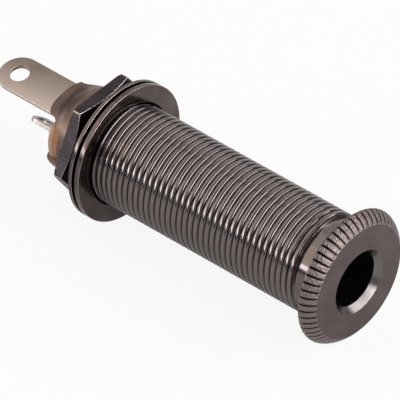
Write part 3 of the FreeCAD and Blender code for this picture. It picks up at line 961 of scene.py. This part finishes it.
@dataclass(frozen=True)
class FlatWasher:
    """Stamped washer: its front edge is rolled round by the punch, its rear edge stays crisp."""

    name: str
    rear: float
    front: float
    inner: float = 6.153
    outer: float = 8.248
    inner_round: float = 0.08
    front_round: float = 0.07
    rear_round: float = 0.05

    def build(self) -> None:
        """Make the washer: a rounded oblong turned about the axis."""
        middle = 0.5 * (self.rear + self.front)
        profile = rounded_line([
            (middle, self.inner),
            (self.front, self.inner, self.inner_round),
            (self.front, self.outer, self.front_round),
            (self.rear, self.outer, self.rear_round),
            (self.rear, self.inner, self.rear_round),
            (middle, self.inner),
        ], steps=5)
        # Painted highlight: a thin bright line on the rolled front edge, fading out over the width of its
        # rounding
        from_edge = np.hypot(profile[:, :1] - self.front, profile[:, 1:] - self.outer)
        wear_and_painted_light = np.clip(1.0 - from_edge / self.front_round, 0.0, 1.0)
        add_piece(f"washer_{self.name}", turned(profile, wear_and_painted_light), WASHER_PLATE, Body.WASHERS,
                  [f"{self.name}_washer"], "washers")


@dataclass(frozen=True)
class SolderLug:
    """Stamped strip with one round end and a hole near it for a wire.

    Attributes:
        turn: side of the axis it lies on, in degrees.
        front: x of its square end.
        nose: x of the centre of its round end.
        height: distance of its middle from the axis.
        hole_radius: radius of the hole's two ends.
        hole_length: distance between their centres.
        crown: how far the sides are bent down by the stamping.
        rubbed_and_lit: painted light that the low side and the root add, and an even share taken off
            everywhere.
        rows: places of the rows between the hole and the edge.
        slot_spread: how early the centre of the hole's radius reaches the slot's ends.
        rounded: width of the rounding on its edges.
    """

    turn: float
    front: float
    nose: float
    half_width: float
    height: float
    thick: float
    hole_radius: float
    hole_length: float
    crown: float = 0.06
    rubbed_and_lit: tuple[float, float, float] = (0.75, 0.55, 0.15)
    rows: tuple[float, ...] = (0.0, 0.12, 0.3, 0.45, 0.6, 0.75, 0.88, 1.0)
    slot_spread: float = 1.6
    rounded: float = 0.10
    nose_columns: int = 49
    side_columns: int = 13
    end_columns: int = 9

    def shell(self) -> Shell:
        """Sheet of the lug, with painted light that makes it lighter towards its low side and its root.

        Returns:
            The middle of the sheet, with its wear.
        """
        sheet = self.sheet()
        along = np.clip((sheet[..., 0] - self.nose) / (self.front - self.nose), 0.0, 1.0)
        turn = math.radians(self.turn)
        side = sheet[..., 1] * math.sin(turn) - sheet[..., 2] * math.cos(turn)
        # Painted light: the lug goes over to its bright shade towards its low side and its root, less an
        # even share everywhere
        lit_by_side, lit_by_root, less = self.rubbed_and_lit
        wear_and_painted_light = lit_by_side * (0.5 - 0.5 * side / self.half_width) + lit_by_root * along - less
        return Shell().add(sheet, ring=True, wear_and_painted_light=np.clip(wear_and_painted_light, 0.0, 1.0))

    def sheet(self) -> Array:
        """Middle of the sheet, as a grid of columns about the hole and rows from hole to edge.

        The edge is a half circle about the nose and two straight sides to the square end. A
        column's point on the hole lies in the direction from the hole's middle to its point on
        the edge: the hole's radius that way, from a centre that moves with the cosine from one end
        of the slot to the other.

        Returns:
            Grid of points.
        """
        wide = self.half_width
        bend = np.linspace(QUARTER, 3.0 * QUARTER, self.nose_columns)
        run = np.linspace(self.nose, self.front, self.side_columns + 1)[1:]
        across = np.linspace(-wide, wide, self.end_columns + 2)[1:-1]
        flank, end = np.full_like(run, wide), np.full_like(across, self.front)
        edge = np.stack((np.concatenate((self.nose + wide * np.cos(bend), run, end, run[::-1])),
                         np.concatenate((wide * np.sin(bend), -flank, across, flank))), axis=-1)
        reach = 0.5 * self.hole_length
        middle = np.array([self.nose + reach, 0.0])
        away = edge - middle
        heading = np.arctan2(away[:, 1], away[:, 0])
        core = np.clip(self.slot_spread * reach * np.cos(heading), -reach, reach)
        hole = middle + np.stack((core + self.hole_radius * np.cos(heading),
                                  self.hole_radius * np.sin(heading)), axis=-1)
        flat = hole + (edge - hole) * np.array(self.rows)[:, None, None]
        height = self.height - self.crown * (flat[..., 1] / wide) ** 2
        return on_side(flat[..., 0], flat[..., 1], height, self.turn)


@dataclass(frozen=True)
class Terminals:
    """The broad sleeve lug with its ring plate, and the two small lugs."""

    plate_front: float = -34.5
    plate_thick: float = 0.5
    plate_inner: float = 3.3
    plate_outer: float = 4.7
    plate_edge: float = 0.08
    plate_columns: int = 96
    sleeve: SolderLug = SolderLug(103.0, -34.55, -46.742, 2.45, 3.4, 0.5, 1.125, 0.0)
    tip: SolderLug = SolderLug(240.0, -32.3, -43.4, 1.2, 1.7, 0.5, 0.6, 0.8)
    ring: SolderLug = replace(tip, turn=350.0)

    def build(self) -> None:
        """Make the three lugs and the broad one's ring plate."""
        middle = self.plate_front - 0.5 * self.plate_thick
        plate = turned(np.array([(middle, self.plate_inner), (middle, self.plate_outer)]),
                       columns=self.plate_columns)
        add_piece("sleeve_ring_plate", plate, SLEEVE_LUG_METAL, Body.JACK, ["sleeve_terminal"],
                  "sleeve_lug", thick=self.plate_thick, edge=self.plate_edge)
        for name, lug, finish, slot in (("sleeve", self.sleeve, SLEEVE_LUG_METAL, "sleeve_lug"),
                                        ("tip", self.tip, SMALL_LUG_METAL, "small_lugs"),
                                        ("ring", self.ring, SMALL_LUG_METAL, "small_lugs")):
            add_piece(f"{name}_solder_lug", lug.shell(), finish, Body.JACK, [f"{name}_terminal"],
                      slot, thick=lug.thick, edge=lug.rounded)


@dataclass(frozen=True)
class LeafSpring:
    """Bent strip with a V near its free end that presses on the plug."""

    name: str
    body: Body
    turn: float
    crest: float
    heel: float = -34.2
    knee: float = -32.2
    ramp: float = 2.8
    low: float = 2.12
    high: float = 3.12
    drop: float = 0.32
    half: float = 0.85
    lip: float = 0.7
    bend: float = 0.8
    shoulder_bend: float = 0.3
    crest_bend: float = 0.35
    width: float = 2.2
    thick: float = 0.3
    edge: float = 0.05
    columns: int = 7

    def build(self) -> None:
        """Make the spring: its bent line carried straight across its width."""
        line = rounded_line([
            (self.heel, self.low),
            (self.knee, self.low, self.bend),
            (self.knee + self.ramp, self.high, self.bend),
            (self.crest - self.half, self.high, self.shoulder_bend),
            (self.crest, self.high - self.drop, self.crest_bend),
            (self.crest + self.half, self.high, self.shoulder_bend),
            (self.crest + self.half + self.lip, self.high),
        ], steps=5)
        across = np.linspace(-0.5, 0.5, self.columns) * self.width
        grid = on_side(line[:, :1], across, line[:, 1:], self.turn)
        add_piece(f"{self.name}_leaf_spring", Shell().add(grid), LEAF_METAL, self.body,
                  [f"{self.name}_spring"], "leaves", thick=self.thick, edge=self.edge)


@dataclass(frozen=True)
class Stand:
    """Flat rectangle that stands off from the jack and faces it, with its sizes in metres."""

    name: str
    towards: tuple[float, ...]
    width: float
    height: float


@dataclass(frozen=True)
class Lamp(Stand):
    """Soft box, with its radiance (1 is the white of the backdrop) and the sRGB hex of its light."""

    glow: float
    tint: str = "#ffffff"

    def place(self, target: Vector) -> None:
        """Put the lamp up.

        Args:
            target: place that it faces.
        """
        light = bpy.data.lights.new(self.name, "AREA")
        light.shape, light.size, light.size_y = "RECTANGLE", self.width, self.height
        light.energy = self.glow * math.pi * self.width * self.height
        light.color = linear(self.tint)[:3]
        heading = Vector(self.towards).normalized()
        made = place_object(self.name, light)
        made.location = target + heading * STAND_OFF
        made.rotation_euler = heading.to_track_quat("Z", "Y").to_euler()


@dataclass(frozen=True)
class Card(Stand):
    """Dark card on the floor for the metal to reflect, with the sRGB hex of its cloth."""

    shade: str
    columns: int = 9

    def place(self, target: Vector, level: float) -> None:
        """Stand the card up.

        Args:
            target: place that it faces.
            level: height of the floor, in mm.
        """
        heading = np.array(self.towards) / np.linalg.norm(self.towards)
        side = np.array([-heading[1], heading[0]]) * self.width
        foot = np.array([target.x, target.y]) + heading * STAND_OFF
        foot = foot + np.linspace(-0.5, 0.5, self.columns)[:, None] * side
        rows = [np.insert(foot, 2, height, axis=1) for height in (0.0, self.height)]
        grid = np.stack(rows) / MM + np.array([0.0, 0.0, level])
        cloth, tree, paint = new_material("black flocked card")
        feed(tree, paint, {"Base Color": linear(self.shade), "Roughness": 1.0, "Specular IOR Level": 0.0})
        made = place_object(self.name, Shell().add(grid).mesh(self.name, NO_CREASE))
        made.data.materials.append(cloth)
        made.visible_camera = made.visible_diffuse = made.visible_shadow = False


@dataclass(frozen=True)
class Studio:
    """White floor, pale surroundings, soft boxes, a dark card and the camera."""

    floor_level: float = -8.26
    floor_reach: float = 3000.0
    camera_place: tuple[float, float, float] = (383.46, -447.33, 475.19)
    camera_aim: tuple[float, float, float] = (-14.78, -6.52, 6.00)
    focal: float = 635.6
    sensor: float = 36.0
    sight: Span = (0.05, 20.0)
    floor_shade: str = "#cfcfcf"
    floor_roughness: float = 0.9
    surround: str = "#8f8d8c"
    lamps: tuple[Lamp, ...] = (
        Lamp("far soft box", (-0.526, 0.764, 0.373), 0.60, 1.40, 0.65, "#fff6f4"),
        Lamp("overhead soft box", (-0.526, -0.059, 0.848), 0.60, 0.72, 1.0, "#fff4ea"),
        Lamp("near soft box", (-0.526, -0.656, 0.546), 0.60, 0.67, 1.35, "#ffeedd"),
        Lamp("low side strip", (-0.526, -0.823, 0.215), 0.70, 0.12, 6.0),
        Lamp("rear strip", (-0.94, -0.32, 0.13), 0.60, 0.20, 3.5),
        Lamp("front top soft box", (0.70, 0.27, 0.70), 2.40, 0.28, 4.4),
        Lamp("front soft box", (0.86, 0.04, 0.42), 1.05, 0.28, 6.0),
    )
    card: Card = Card("dark_card", (-0.526, -0.847), 1.1, 0.125, "#140f0e")

    def build(self) -> None:
        """Set up the floor, the world, the lamps and the camera."""
        self.lay_floor()
        self.fill_world()
        target = Vector(self.camera_aim) * MM
        for lamp in self.lamps:
            lamp.place(target)
        self.card.place(target, self.floor_level)
        self.aim_camera(target)

    def lay_floor(self) -> None:
        """Lay a white floor: part painted board that takes the shadow, part plain white."""
        reach = np.array([-self.floor_reach, self.floor_reach])
        grid = np.stack(np.meshgrid(reach, reach, self.floor_level, indexing="ij"), axis=-1)
        board, tree, paint = new_material("matt white painted board")
        feed(tree, paint, {"Base Color": linear(self.floor_shade), "Roughness": self.floor_roughness,
                           "Specular IOR Level": 0.0})
        self.add_white(tree, "ShaderNodeEmission", paint, "Material Output", seen=0.90, mirrored=0.25)
        mesh = Shell().add(grid.reshape(2, 2, 3)).mesh("studio_floor", NO_CREASE)
        floor = place_object("studio_floor", mesh)
        floor.data.materials.append(board)

    def fill_world(self) -> None:
        """Fill the world with a pale shade, which the camera sees as plain white."""
        world = bpy.data.worlds.new("pale surroundings")
        world.use_nodes = True
        pale = world.node_tree.nodes["Background"]
        feed(world.node_tree, pale, {"Color": linear(self.surround), "Strength": 1.0})
        self.add_white(world.node_tree, "ShaderNodeBackground", pale, "World Output",
                       seen=1.0, mirrored=0.05)
        bpy.context.scene.world = world

    def add_white(self, tree: Tree, kind: str, under: Node, output: str, seen: float,
                  mirrored: float) -> None:
        """Mix plain white into a shader, by a share that goes by the kind of ray.

        Args:
            tree: node tree to add to.
            kind: Blender's type of node that gives off the white.
            under: node of the shader.
            output: name of the tree's output node.
            seen: share of white that the camera sees.
            mirrored: share of white that a mirrored ray, or one let through, meets.
        """
        path = add_node(tree, "ShaderNodeLightPath", {}, {})
        bounced = calculate(tree, "MAXIMUM", path.outputs["Is Glossy Ray"],
                            path.outputs["Is Transmission Ray"])
        share = calculate(tree, "MULTIPLY_ADD", path.outputs["Is Camera Ray"], seen,
                          calculate(tree, "MULTIPLY", bounced, mirrored))
        white = add_node(tree, kind, {}, {"Color": WHITE, "Strength": 1.0})
        both = add_node(tree, "ShaderNodeMixShader", {},
                        {0: share, 1: under.outputs[0], 2: white.outputs[0]})
        feed(tree, tree.nodes[output], {"Surface": both.outputs[0]})

    def aim_camera(self, target: Vector) -> None:
        """Aim a long lens from the photograph's viewing angle.

        Args:
            target: place that it looks at.
        """
        lens = bpy.data.cameras.new("product camera")
        lens.lens, lens.sensor_width = self.focal, self.sensor
        lens.clip_start, lens.clip_end = self.sight
        camera = place_object("product camera", lens)
        camera.location = Vector(self.camera_place) * MM
        camera.rotation_euler = (camera.location - target).to_track_quat("Z", "Y").to_euler()
        bpy.context.scene.camera = camera


def main() -> None:
    """Build every piece in order, then the studio."""
    logging.basicConfig(level=logging.INFO, format="%(message)s")
    Bushing().build()
    HexNut().build()
    FlatWasher("front", -31.70, -31.10).build()
    FlatWasher("rear", -32.60, -32.15).build()
    Terminals().build()
    LeafSpring("tip", Body.TIP_LEAF, 240.0, -25.7).build()
    LeafSpring("ring", Body.RING_LEAF, 350.0, -20.2).build()
    for node, finish in (("lock_washer", LOCK_PLATE), ("front_wafer", WAFER_BOARD),
                         ("middle_wafer", WAFER_BOARD), ("rear_wafer", REAR_BOARD),
                         ("insulating_liner", LINER_PAPER)):
        keep(node, finish)
    Studio().build()
    bpy.context.scene.view_settings.view_transform = "Standard"


if __name__ == "__main__":
    main()
